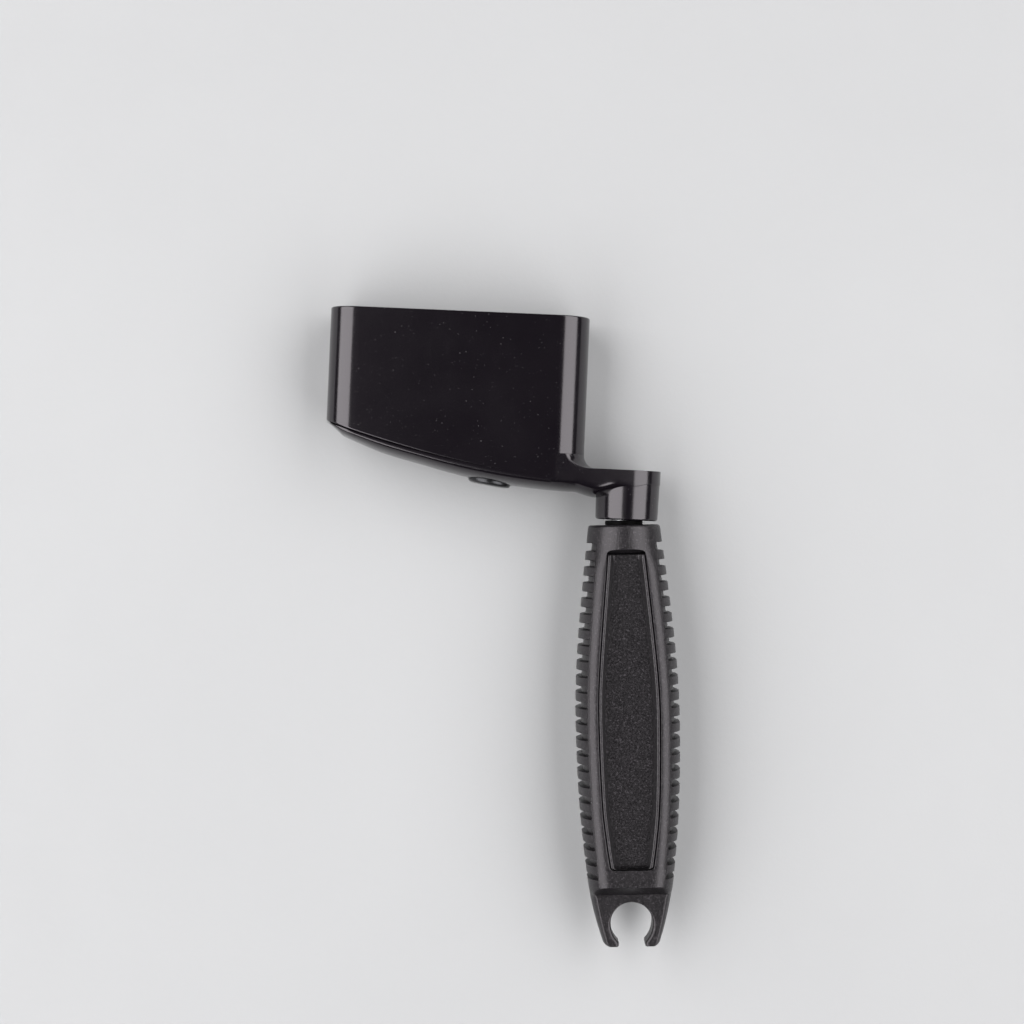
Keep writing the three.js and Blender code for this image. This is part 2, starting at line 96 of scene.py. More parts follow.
PANEL = {"start": 3.95, "end": 61.4, "arch": 0.9, "foot": 0.8, "gap": 0.13, "bed_edge": 0.12, "bed_gap": 0.08,
         "depth": 2.0, "lip": 0.72, "wall": 0.45, "edge": 0.16, "recess": 1.15, "top_gap": 0.75,
         "foot_gap": 0.62, "trench": 0.1}

# Spindle and its bearings: radii, and places along the axis above the handle's top
SPINDLE = {"radius": 2.0, "end": -26.4, "chamfer": 0.4, "groove": 1.5, "groove_low": -25.2,
           "groove_high": -24.2, "flange": 3.1, "flange_height": 1.3, "below_top": 0.2}
BEARING = {"inner": 2.1, "outer": 3.4}
THRUST_RING, UPPER_BEARING, LOWER_BEARING = (0.06, 1.22), (-7.0, -0.5), (-22.6, -17.5)
SPACER = {"low": -23.5, "high": -22.9, "outer": 3.9}
CLIP = {"inner": 1.6, "outer": 3.3, "low": -25.0, "high": -24.4, "mouth": 1.15, "mouth_from": 0.7}

# Holes they sit in: radii, with depths below the hub's top and below the handle's top
HUB_HOLE = {"bore": 2.15, "seat": 3.4, "seat_depth": 1.75, "flare": 3.75, "flare_depth": 0.35}
BORE = {"bearing": 3.55, "bearing_end": 7.3, "radius": 2.4, "end": 12.0}

BOX_FACES = [(0, 1, 2, 3), (7, 6, 5, 4), (0, 4, 5, 1), (1, 5, 6, 2), (2, 6, 7, 3), (3, 7, 4, 0)]


def smooth(stations):
    """A smooth curve through (place, value) stations."""

    def slope(i):
        before, after = stations[max(i - 1, 0)], stations[min(i + 1, len(stations) - 1)]
        return (after[1] - before[1]) / (after[0] - before[0])

    def value(place):
        i = 0
        while i < len(stations) - 2 and stations[i + 1][0] <= place:
            i += 1
        (x0, y0), (x1, y1) = stations[i], stations[i + 1]
        span = x1 - x0
        t = (place - x0) / span
        rise = y1 - y0
        bend = t * (1 - t) * ((1 - t) * (slope(i) * span - rise) - t * (slope(i + 1) * span - rise))
        return y0 + t * rise + bend

    return value


half_width = smooth(HANDLE_WIDTHS)
depth_curve = smooth(HALF_DEPTHS)
panel_width = smooth(INLAY_WIDTHS)
fork_band = smooth(FORK_BAND)
under_hub = smooth(UNDER_HUB)


def half_depth(down):
    return min(depth_curve(down), HALF_DEPTH)


def ease(t):
    """A smooth step from 0 to 1."""
    t = min(max(t, 0.0), 1.0)
    return t * t * (3 - 2 * t)


def quarter(steps, first=0):
    """Angles from 0 to a right angle in equal steps."""
    return [math.pi / 2 * k / steps for k in range(first, steps + 1)]


def arc_height(arc, x):
    return arc["y"] - math.sqrt(arc["radius"] ** 2 - (x - arc["x"]) ** 2)


def in_handle(x, down, z):
    return HINGE + Vector((x, -down, z)) * MM


def on_axis(x, y, z):
    """Like in_handle, with heights measured up from the handle's top."""
    return in_handle(x, -y, z)


HEAD_ORIGIN = HINGE + Vector((HEAD_OFFSET, HUB_LIFT, 0)) * MM
HEAD_PLACE = Matrix.Translation(HEAD_ORIGIN) @ Matrix.Rotation(-HEAD_LEAN, 4, "Z")


def in_head(x, y, z):
    return HEAD_PLACE @ (Vector((x, y, z)) * MM)


# ---- Mesh building ----


def add_object(name, vertices, faces):
    mesh = bpy.data.meshes.new(name)
    mesh.from_pydata([tuple(v) for v in vertices], [], faces)
    mesh.update()
    made = bpy.data.objects.new(name, mesh)
    bpy.context.scene.collection.objects.link(made)
    return made


def loft(name, rings, place, caps=None):
    """Joins closed rings of (a, b, c) points, all with the same count, and closes both ends."""
    count = len(rings[0])
    assert all(len(ring) == count for ring in rings), name
    vertices = [place(*p) for ring in rings for p in ring]
    faces = []
    for r in range(len(rings) - 1):
        for i in range(count):
            j = (i + 1) % count
            faces.append((r * count + i, r * count + j, (r + 1) * count + j, (r + 1) * count + i))
    last = (len(rings) - 1) * count
    faces += caps or [tuple(range(count))[::-1], tuple(last + i for i in range(count))]
    return tidy(add_object(name, vertices, faces))


def tidy(made):
    """Merges points that meet, drops empty faces and turns every face outwards."""
    bm = bmesh.new()
    bm.from_mesh(made.data)
    bmesh.ops.remove_doubles(bm, verts=bm.verts, dist=2e-6)
    bmesh.ops.dissolve_degenerate(bm, edges=bm.edges, dist=1e-6)
    bmesh.ops.recalc_face_normals(bm, faces=bm.faces)
    bm.to_mesh(made.data)
    bm.free()
    return made


def turned(name, profile, place, facets=96):
    """Turns a profile of (radius, height) pairs about Y; a first or last radius of 0 closes that end."""
    vertices, faces, rows = [], [], []
    for radius, height in profile:
        if radius < 1e-6:
            rows.append([len(vertices)])
            vertices.append(place(0, height, 0))
            continue
        start = len(vertices)
        rows.append(list(range(start, start + facets)))
        for i in range(facets):
            a = 2 * math.pi * i / facets
            vertices.append(place(radius * math.cos(a), height, radius * math.sin(a)))
    closed = len(rows[0]) > 1
    pairs = list(zip(rows, rows[1:] + rows[:1] if closed else rows[1:]))
    for low, high in pairs:
        for i in range(facets):
            j = (i + 1) % facets
            if len(low) == 1:
                faces.append((low[0], high[j], high[i]))
            elif len(high) == 1:
                faces.append((low[i], low[j], high[0]))
            else:
                faces.append((low[i], low[j], high[j], high[i]))
    return tidy(add_object(name, vertices, faces))


def combine(made, other, operation):
    """Adds other to made or cuts it away, and removes other."""
    cut = made.modifiers.new("cut", "BOOLEAN")
    cut.operation = operation
    cut.solver = "EXACT"
    cut.object = other
    depsgraph = bpy.context.evaluated_depsgraph_get()
    mesh = bpy.data.meshes.new_from_object(made.evaluated_get(depsgraph))
    made.modifiers.clear()
    made.data = mesh
    bpy.data.objects.remove(other)
    return made


SHARP_FROM = math.radians(38)


def finish_piece(made, body, material, replaced):
    for face in made.data.polygons:
        face.use_smooth = True
    made.data.set_sharp_from_angle(angle=SHARP_FROM)
    weigh = made.modifiers.new("normals", "WEIGHTED_NORMAL")
    weigh.keep_sharp = True
    made.data.materials.clear()
    made.data.materials.append(material)
    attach(made, body)
    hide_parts(*replaced)
    return made


# ---- Head ----


CORNER_STEPS = 16
LONG_STEPS = 44
SHORT_STEPS = 4
WALL_STEPS = 9
EDGE_STEPS = 5
STEP_WIDTH = 0.02
INNERMOST = CUP["corner"] - 0.02
FOOT_INSETS = (INNERMOST, 3.4, 1.6, FOOT_EDGE + 0.35)
FLOOR_INSETS = (3.6, INNERMOST)


def cup_plan(inset):
    """Ring of (x, z) round the cup's plan, drawn in by inset, with the same points for every inset."""
    left, right = CUP["left"] + inset, CUP["right"] - inset
    half = HALF_DEPTH - inset
    far, near = (max(CUP[corner] - inset, 0.02) for corner in ("corner", "near_corner"))
    corners = [(right - near, half - near, near, 0.0), (left + far, half - far, far, math.pi / 2),
               (left + far, far - half, far, math.pi), (right - near, near - half, near, 1.5 * math.pi)]
    arcs = []
    for cx, cz, r, start in corners:
        turns = [start + math.pi / 2 * i / CORNER_STEPS for i in range(CORNER_STEPS + 1)]
        arcs.append([(cx + r * math.cos(a), cz + r * math.sin(a)) for a in turns])
    ring = []
    for k in range(4):
        ring += arcs[k]
        (x0, z0), (x1, z1) = arcs[k][-1], arcs[(k + 1) % 4][0]
        if k in (0, 2):
            ring += [(x, z0 + (z1 - z0) * (x - x0) / (x1 - x0)) for x in straight_stops(x0, x1)]
        else:
            ring += [(x0 + (x1 - x0) * i / SHORT_STEPS, z0 + (z1 - z0) * i / SHORT_STEPS)
                     for i in range(1, SHORT_STEPS)]
    return ring


def straight_stops(x0, x1):
    """Places along the cup's long sides, the same for every inset, with a close pair at each step."""
    low, high = min(x0, x1), max(x0, x1)
    first, last = CUP["left"] + CUP["corner"], CUP["right"] - CUP["near_corner"]
    even = [first + (last - first) * i / LONG_STEPS for i in range(1, LONG_STEPS)]
    pairs = [SHOULDER["x"] - lift + side for lift in (0, CUP["floor"]) for side in (-STEP_WIDTH, STEP_WIDTH)]
    places = [min(max(x, low), high) for x in sorted(even + pairs)]
    return places[::-1] if x1 < x0 else places


def cup_cap(start):
    """Faces that close a ring of the cup's plan, straight across from front to back."""
    arc, run = CORNER_STEPS + 1, LONG_STEPS - 1 + 4
    front = [arc - 1 + i for i in range(run + 2)]
    back_start = 3 * arc + run + SHORT_STEPS - 1
    back = [back_start + run - i for i in range(run + 2)]
    total = 4 * arc + 2 * run + 2 * (SHORT_STEPS - 1)
    faces = [(front[i], front[i + 1], back[i + 1], back[i]) for i in range(run + 1)]
    faces.append(tuple(range(front[-1], back[-1] + 1)))
    faces.append(tuple(i % total for i in range(back[0], total + arc)))
    return [tuple(start + i for i in face) for face in faces]


def cup_foot(x, lift=0.0):
    """Height of the cup's lower edge, or of its floor when lifted."""
    step = SHOULDER["x"] - lift
    if x > step:
        return SHOULDER["y"] + lift
    return arc_height(SEAM, x) + lift


def seam_edge(x):
    """How open and how rounded the seam is: full at the cup's free end, almost gone by the shoulder."""
    return 1 - SEAM_FADE["fade"] * ease((x - SEAM_FADE["from"]) / (SEAM_FADE["to"] - SEAM_FADE["from"]))


def inner_floor(x):
    return cup_foot(x, CUP["floor"])


def build_cup():
    rings = []

    def ring(inset, height):
        rings.append([(x, height(x), z) for x, z in cup_plan(inset)])

    for inset in FOOT_INSETS:
        ring(inset, cup_foot)
    outer = cup_plan(0)
    for a in quarter(EDGE_STEPS):
        drawn_in = cup_plan(FOOT_EDGE * (1 - math.sin(a)))
        rings.append([
            (x + (inner_x - x) * seam_edge(x), cup_foot(x) + FOOT_EDGE * (1 - math.cos(a)) * seam_edge(x),
             z + (inner_z - z) * seam_edge(x))
            for (x, z), (inner_x, inner_z) in zip(outer, drawn_in)
        ])
    rim, wall, inner = CUP["rim"], CUP["wall"], CUP["inner_edge"]
    for k in range(1, WALL_STEPS):
        share = k / WALL_STEPS
        ring(0, lambda x: cup_foot(x) + FOOT_EDGE + (rim - EDGE - FOOT_EDGE - cup_foot(x)) * share)
    for a in quarter(EDGE_STEPS):
        ring(EDGE * (1 - math.cos(a)), lambda x: rim - EDGE * (1 - math.sin(a)))
    for a in quarter(EDGE_STEPS):
        ring(wall - EDGE * (1 - math.sin(a)), lambda x: rim - EDGE * (1 - math.cos(a)))
    for k in range(1, WALL_STEPS):
        share = k / WALL_STEPS
        ring(wall, lambda x: rim - EDGE - (rim - EDGE - inner_floor(x) - inner) * share)
    for a in quarter(6):
        ring(wall + inner * (1 - math.cos(a)), lambda x: inner_floor(x) + inner * (1 - math.sin(a)))
    for inset in FLOOR_INSETS:
        ring(inset, inner_floor)
    count = len(rings[0])
    return loft("cup_shell", rings, in_head, cup_cap(0) + cup_cap((len(rings) - 1) * count))


def screw_place(x, y, z):
    """Puts a piece turned about Y onto the screw's axis, square to the underside."""
    slope = math.atan2(UNDERSIDE["x"] - SCREW["x"], UNDERSIDE["radius"])
    tilted = Matrix.Rotation(-slope, 4, "Z") @ Vector((x, y, z))
    return in_head(SCREW["x"] + tilted.x, arc_height(UNDERSIDE, SCREW["x"]) + tilted.y, tilted.z)


def build_boss():
    r, flare, edge, bore = BOSS["radius"], BOSS["flare"], BOSS["edge"], BOSS["bore"]
    floor = arc_height(SEAM, SCREW["x"]) + CUP["floor"]
    low, base = floor - BOSS["sunk"], floor - BOSS["flare_base"]
    top = BOSS["top"]
    bottom = top - BOSS["bore_depth"]
    profile = [(0, low), (r + flare, low), (r + flare, base)]
    profile += [(r + flare * (1 - math.sin(a)), base + flare * (1 - math.cos(a))) for a in quarter(8, 1)]
    profile += [(r, top - edge), (r - 0.3 * edge, top - 0.3 * edge), (r - edge, top), (bore + edge, top),
                (bore, top - edge), (bore, bottom), (0, bottom)]
    return turned("screw_boss", profile, lambda x, y, z: in_head(SCREW["x"] + x, y, z), 64)


def arm_half(x):
    """Half depth of the arm at x, seen along the spindle."""
    corner = CUP["left"] + CUP["corner"]
    if x < corner:
        return HALF_DEPTH - CUP["corner"] + math.sqrt(max(CUP["corner"] ** 2 - (corner - x) ** 2, 0))
    start = CUP["right"] - CUP["near_corner"]
    if x < start:
        return HALF_DEPTH
    reach = math.hypot(start, HALF_DEPTH)
    tangent = math.atan2(HALF_DEPTH, start) - math.acos(HUB["top"] / reach)
    end_x, end_z = HUB["top"] * math.cos(tangent), HUB["top"] * math.sin(tangent)
    if x < end_x:
        return HALF_DEPTH + (end_z - HALF_DEPTH) * (x - start) / (end_x - start)
    return math.sqrt(max(HUB["top"] ** 2 - x * x, 0))


def arm_top(x):
    """Height of the arm's upper face under the cup."""
    return SHOULDER["y"] if x > SHOULDER["x"] else arc_height(SEAM, x) - SEAM_GAP * seam_edge(x)


def cup_edge(x):
    """Half depth of the cup's outer wall at x, down to that of its flat end."""
    r = CUP["near_corner"]
    past = max(x - CUP["right"] + r, 0)
    return HALF_DEPTH - r + math.sqrt(max(r ** 2 - past ** 2, 0))


def fillet_top(x, z):
    """Height of the arm's upper face outside the cup: a fillet that wraps round the cup's corner."""
    r = CUP["near_corner"]
    past_x, past_z = x - CUP["right"] + r, z - HALF_DEPTH + r
    away = math.hypot(past_x, max(past_z, 0))
    out = max(away - r - LEDGE * (max(past_z, 0) / away) ** 2, 0)
    return HUB["height"] + FILLET - math.sqrt(FILLET ** 2 - max(FILLET - out, 0) ** 2)


def arm_foot(x):
    """Height of the arm's underside."""
    if x < UNDER_HUB[0][0]:
        drop = FOOT_DROP["drop"] * ease((FOOT_DROP["from"] - x) / FOOT_DROP["over"])
        share = min((x - CUP["left"]) / FOOT_DROP["end"], 1)
        top = arc_height(SEAM, x)
        return top - max((top - arc_height(UNDERSIDE, x) + drop) * share, THINNEST)
    return under_hub(x)


def arm_upper(x, half, edge):
    """Points (z, y) across the arm's upper face, from the middle to its rounded edge."""
    reach = half - edge
    if x < CUP["right"] - CUP["near_corner"]:
        return [(reach * k / 12, arm_top(x)) for k in range(12)]
    wall = min(cup_edge(x), reach)
    inside = [0.0, 0.5 * wall, wall - 0.02]
    covered = x < CUP["right"]
    points = [(z, SHOULDER["y"] if covered else fillet_top(x, z)) for z in inside]
    return points + [(z, fillet_top(x, z)) for z in np.linspace(wall, reach, 10)[:-1]]


def arm_section(x):
    """The arm's closed outline at x: upper face, side, rounded lower edge and underside."""
    half, foot = arm_half(x), arm_foot(x)
    beside = x > CUP["right"] - CUP["near_corner"]
    top = fillet_top(x, half) if beside else arm_top(x)
    tall = top - foot
    fade = 1 - NOSE["fade"] * ease((x - NOSE["fade_from"]) / NOSE["fade_over"])
    nose_y = min(NOSE["height"], 0.85 * tall) * fade
    nose_z = min(NOSE["depth"], 0.92 * half) * fade
    edge = min(ARM_EDGE * seam_edge(x), 0.1 * tall, 0.4 * half)
    right = arm_upper(x, half, edge)
    right += [(half - edge * (1 - math.sin(a)), top - edge * (1 - math.cos(a))) for a in quarter(4)]
    side_end = foot + nose_y
    right += [(half, top - edge + (side_end - top + edge) * k / 5) for k in range(1, 5)]
    right += [(half - nose_z * (1 - math.cos(a)), foot + nose_y * (1 - math.sin(a))) for a in quarter(14)]
    right += [((half - nose_z) * t, foot) for t in (0.66, 0.33, 0.0)]
    left = [(-z, y) for z, y in right[1:-1]][::-1]
    return [(x, y, z) for z, y in right + left]


def arm_stations():
    """Places along the arm, close together round the cup's corners, the fillet and the hub."""
    left, right, near = CUP["left"], CUP["right"], CUP["near_corner"]
    places = [left + 0.03 + 5.1 * (k / 16) ** 1.4 for k in range(16)]
    places += list(np.linspace(left + 5.3, SHOULDER["x"] - 0.5, 60))
    places += [SHOULDER["x"] - 0.01, SHOULDER["x"] + 0.01]
    places += [right - near * (1 - math.sin(a)) for a in np.linspace(0.01, 1.56, 24)]
    places += [right + FILLET - FILLET * math.cos(a) for a in np.linspace(0.1, math.pi / 2, 18)]
    places += list(np.linspace(right + FILLET + 0.3, 0.5, 16))
    places += [HUB["top"] * math.sin(a) for a in np.linspace(0.1, math.pi / 2 - 0.02, 40)]
    return sorted(set(places))


def hub_form():
    edge = HUB["edge"]
    profile = [(0, 0), (3.6, 0), (HUB["bottom"] - edge, 0)]
    profile += [(HUB["bottom"] - edge * (1 - math.sin(a)), edge * (1 - math.cos(a))) for a in quarter(6, 1)]
    profile += [(HUB["waist"], HUB["waist_at"]), (HUB["waist"], HUB["buried"]), (0, HUB["buried"])]
    return turned("hub_form", profile, in_head, 128)


def seat_form():
    """The cutter for the screw's recess."""
    r, deep, beyond = SCREW["seat"], SCREW["height"] - SCREW["proud"], -9
    return turned("seat_form", [(0, beyond), (r, beyond), (r, deep), (0, deep)], screw_place, 64)


def hole_form():
    """The cutter for the spindle's hole through the hub, with a seat for its flange."""
    top, hole = HUB_LIFT + HUB["height"], HUB_HOLE
    seat, beyond = top - hole["seat_depth"], top + 4
    profile = [(0, -1), (hole["bore"], -1), (hole["bore"], seat), (hole["seat"], seat),
               (hole["seat"], top - hole["flare_depth"]), (hole["flare"], top + 0.3), (hole["flare"], beyond),
               (0, beyond)]
    return turned("hole_form", profile, on_axis, 64)


def build_arm():
    made = loft("crank_arm_moulding", [arm_section(x) for x in arm_stations()], in_head)
    made = combine(made, hub_form(), "UNION")
    made = combine(made, seat_form(), "DIFFERENCE")
    return tidy(combine(made, hole_form(), "DIFFERENCE"))


def build_screw():
    seat = SCREW["height"] - SCREW["proud"] - SCREW["seat_gap"]
    low, r = -SCREW["proud"], SCREW["head"]
    profile = [(0, low), (r * 0.55, low), (r * 0.8, low + 0.06), (r * 0.93, low + 0.22),
               (r * 0.985, low + 0.45), (r, low + 0.7), (r, seat - 0.1), (r - 0.1, seat), (0, seat)]
    made = turned("screw_head", profile, screw_place, 96)
    for across, along in ((SCREW["recess"], SCREW["slot"]), (SCREW["slot"], SCREW["recess"])):
        corners = []
        for y, share in ((low - 1, 1), (low + SCREW["slot_depth"], SCREW["slot_taper"])):
            corners += [(sx * across * share, y, sz * along / 2 * share)
                        for sx, sz in ((-1, -1), (1, -1), (1, 1), (-1, 1))]
        slot = add_object("slot_form", [screw_place(*p) for p in corners], BOX_FACES)
        made = combine(made, tidy(slot), "DIFFERENCE")
    return tidy(made)


# ---- Handle ----


def neck_mix(down):
    """1 where the handle's top is round, falling to 0 where its front is flat."""
    return 1 - ease((down - NECK["round_until"]) / (NECK["flat_from"] - NECK["round_until"]))


def side_point(down, turn):
    """(x, z) on the handle's outer form: turn is 0 at the front's edge and a right angle at the side."""
    width, depth = half_width(down), half_depth(down)
    scale = depth / HALF_DEPTH
    x = width - SIDE["size"] * (1 - math.sin(turn))
    z = (HALF_DEPTH - SIDE["depth"] + SIDE["depth"] * math.cos(turn)) * scale
    mix = neck_mix(down)
    if mix > 0:
        spread = (width - SIDE["size"]) / width
        angle = math.asin(min(spread + (1 - spread) * (x - width + SIDE["size"]) / SIDE["size"], 1.0))
        x += mix * (width * math.sin(angle) - x)
        z += mix * (depth * math.cos(angle) - z)
    return x, z


def front_point(down, x):
    """Height of the handle's front at x, between the axis and the edge of the side's rounding."""
    width, depth = half_width(down), half_depth(down)
    z = depth
    if x > width - SIDE["size"]:
        z = (HALF_DEPTH - SIDE["depth"] + SIDE["depth"] * math.cos(turn_at(down, x))) * depth / HALF_DEPTH
    return z + neck_mix(down) * (depth * math.sqrt(max(1 - (x / width) ** 2, 0)) - z)


def boundary(down):
    """Where the body ends and a grip begins."""
    return GRIP["share"] * half_width(down)


def turn_at(down, x):
    """The turn at which the side's rounding has reached x."""
    flat = half_width(down) - SIDE["size"]
    return math.asin(min(max((x - flat) / SIDE["size"], 0), 1))


def normal_at(down, turn):
    """Unit (x, z) normal of the handle's outer form."""
    (x0, z0), (x1, z1) = side_point(down, turn - 0.01), side_point(down, turn + 0.01)
    length = math.hypot(x1 - x0, z1 - z0)
    return (z0 - z1) / length, (x1 - x0) / length


def panel_half(down, inset=0.0):
    """Half width of the panel's outline, slightly arched at its top and with rounded corners at its foot."""
    start, end = PANEL["start"] + inset, PANEL["end"] - inset
    if not start < down < end:
        return 0.0
    first, last = INLAY_WIDTHS[0][0], INLAY_WIDTHS[-1][0]
    width = panel_width(min(max(down, first), last)) - inset
    for reach, power, from_end in ((PANEL["arch"], 3, down - start), (PANEL["foot"], 4, end - down)):
        if from_end < reach:
            width *= (1 - (1 - from_end / reach) ** power) ** (1 / power)
    return width


def groove_at(down):
    """1 in the gaps between ribs, 0 on the ribs, with an eased edge."""
    last = RIB["first"] + (RIB["count"] - 1) * RIB["pitch"] + RIB["width"]
    if down > last:
        return ease((down - last) / RIB["edge"])
    if down < RIB["first"]:
        return ease((RIB["first"] - down) / RIB["edge"])
    place = (down - RIB["first"]) % RIB["pitch"] - RIB["width"]
    length = RIB["pitch"] - RIB["width"]
    return ease(place / RIB["edge"]) * ease((length - place) / RIB["edge"]) if 0 < place < length else 0.0


def rib_stops():
    """Stations along a grip: close together at the ribs' edges."""
    found = [GRIP["start"], GRIP["start"] + 0.05]
    for n in range(-1, RIB["count"]):
        top = RIB["first"] + n * RIB["pitch"] + RIB["width"]
        end = top + RIB["pitch"] - RIB["width"]
        for k in range(6):
            found += [top + RIB["edge"] * k / 5, end - RIB["edge"] * k / 5]
        found += [end + RIB["width"] / 2]
    found += [GRIP["end"] - 0.05, GRIP["end"]]
    return sorted(d for d in set(round(f, 4) for f in found) if GRIP["start"] <= d <= GRIP["end"])


def build_grip(name, side):
    rings = []
    for down in rib_stops():
        inner = boundary(down) + GRIP["gap"] / 2
        start = turn_at(down, inner)
        wall = max(math.asin(1 - GRIP["from_edge"] / SIDE["size"]), start + 0.03)
        floor = max(math.asin(1 - (GRIP["from_edge"] - GRIP["wall"]) / SIDE["size"]), wall + 0.1)
        dent = groove_at(down) * RIB["depth"]
        turns = [start + (wall - start) * k / 3 for k in range(3)]
        turns += [wall + (floor - wall) * k / 5 for k in range(5)]
        turns += [floor + (math.pi / 2 - floor) * k / 12 for k in range(13)]
        points = [(inner, front_point(down, inner))]
        for turn in turns[1:]:
            x, z = side_point(down, turn)
            nx, nz = normal_at(down, turn)
            sink = dent * ease((turn - wall) / (floor - wall))
            points.append((max(x - sink * nx, inner + 0.02), max(z - sink * nz, 0)))
        loop = points + [(x, -z) for x, z in points[-2::-1]]
        loop += [(inner, z) for z in np.linspace(-points[0][1], points[0][1], 8)[1:-1]]
        rings.append([(side * x, down, z) for x, z in loop])
    return loft(name, rings, in_handle)


def panel_stops():
    start, end = PANEL["start"], PANEL["end"]
    arch = [start + PANEL["arch"] * (1 - math.cos(a)) for a in np.linspace(0.02, math.pi / 2, 16)]
    foot = [end - PANEL["foot"] * (1 - math.cos(a)) for a in np.linspace(0.02, math.pi / 2, 14)]
    return [start] + arch + foot + [end]


def fork_top(down):
    """Half thickness of the fork's plate, with the wall that leads down to it."""
    share = max((down - FORK["floor"]) / (FORK["end"] - FORK["floor"]), 0)
    plate = FORK["half"] + (FORK["tip"] - FORK["half"]) * share
    left = max(1 - (down - FORK["step"]) / (FORK["wall"] - FORK["step"]), 0)
    return plate + FORK["drop"] * (0.7 * left + 0.3 * left ** 2)


FORK_TURN = math.radians(35)  # how far the arris turns, and where the quarter ellipse of the sides begins


def fork_section(down, n_flat, n_side):
    """The fork's flat front and its rounded side, which grows out of the grip's side in the hollow."""
    width, top = half_width(down), fork_top(down)
    scale = half_depth(down) / HALF_DEPTH
    lift = (top / scale - HALF_DEPTH + SIDE["depth"]) / SIDE["depth"]
    turn = math.acos(min(max(lift, -1), 1))
    blend = ease((down - FORK["step"]) / (FORK["floor"] - FORK["step"]))
    corner = side_point(down, turn)[0]
    arris = corner + (width - fork_band(down) - corner) * blend
    radius = FORK_ARRIS * blend
    turned_x, turned_z = radius * math.sin(FORK_TURN), radius * (1 - math.cos(FORK_TURN))
    inner = arris - turned_x
    n_arris = 6
    flat = [(inner * k / (n_flat - n_arris), top) for k in range(n_flat - n_arris)]
    flat += [(inner + radius * math.sin(a), top - radius * (1 - math.cos(a)))
             for a in np.linspace(0, FORK_TURN, n_arris)]
    low = top - turned_z
    side = []
    for k in range(1, n_side + 2):
        share = k / (n_side + 1)
        grip_x, grip_z = side_point(down, turn + (math.pi / 2 - turn) * share)
        a = FORK_TURN + (math.pi / 2 - FORK_TURN) * share
        x = arris + (width - arris) * (math.sin(a) - math.sin(FORK_TURN)) / (1 - math.sin(FORK_TURN))
        z = low * math.cos(a) / math.cos(FORK_TURN)
        side.append((grip_x + (x - grip_x) * blend, max(grip_z + (z - grip_z) * blend, 0)))
    return flat + side


FLOOR_POINTS, WALL_POINTS, SPINE_POINTS, SIDE_POINTS = 6, 6, 10, 20  # across half of the body's front


def panel_bed(down):
    """The bed of a panel, from the middle to its outer edge, or the bare middle beyond its ends."""
    half, middle = panel_half(down), front_point(down, 0)
    if half == 0:
        return [(0, middle)] * FLOOR_POINTS + [(0.002 * k, middle) for k in range(WALL_POINTS)]
    top = front_point(down, half)
    ramp = min(max((down - PANEL["start"]) / (PANEL["top_gap"] + PANEL["gap"]), 0.15), 1)
    floor = top - (top - middle + PANEL["depth"]) * ramp
    edge = min(PANEL["bed_edge"], half)
    points = [(half * 0.98 * k / FLOOR_POINTS, floor) for k in range(FLOOR_POINTS)]
    points += [(half, floor), (half, floor + 0.4 * (top - floor)), (half, top - 2.2 * edge)]
    points += [(half, top - edge), (half + 0.3 * edge, top - 0.3 * edge)]
    return points + [(half + edge, front_point(down, half + edge))]


def body_section(down, in_fork):
    """Half a ring (right side, front to back) of the handle's body, grips' and panels' beds included."""
    if in_fork:
        return fork_section(down, FLOOR_POINTS + WALL_POINTS + SPINE_POINTS - 1, SIDE_POINTS)
    points = panel_bed(down)
    start, bound = points[-1][0], boundary(down)
    for k in range(1, SPINE_POINTS + 1):
        x = start + (bound - start) * k / SPINE_POINTS
        points.append((x, front_point(down, x)))
    beside_grip = GRIP["start"] < down < GRIP["end"]
    first = turn_at(down, bound)
    for k in range(1, SIDE_POINTS + 1):
        x, z = side_point(down, first + (math.pi / 2 - first) * k / SIDE_POINTS)
        points.append((bound if beside_grip else x, z))
    return points


def full_ring(down, half):
    """A whole ring from its right half's front quarter, mirrored to the back and to the left."""
    right = half + [(x, -z) for x, z in half[-2::-1]]
    left = [(-x, z) for x, z in right[1:-1]][::-1]
    return [(x, down, z) for x, z in right + left]


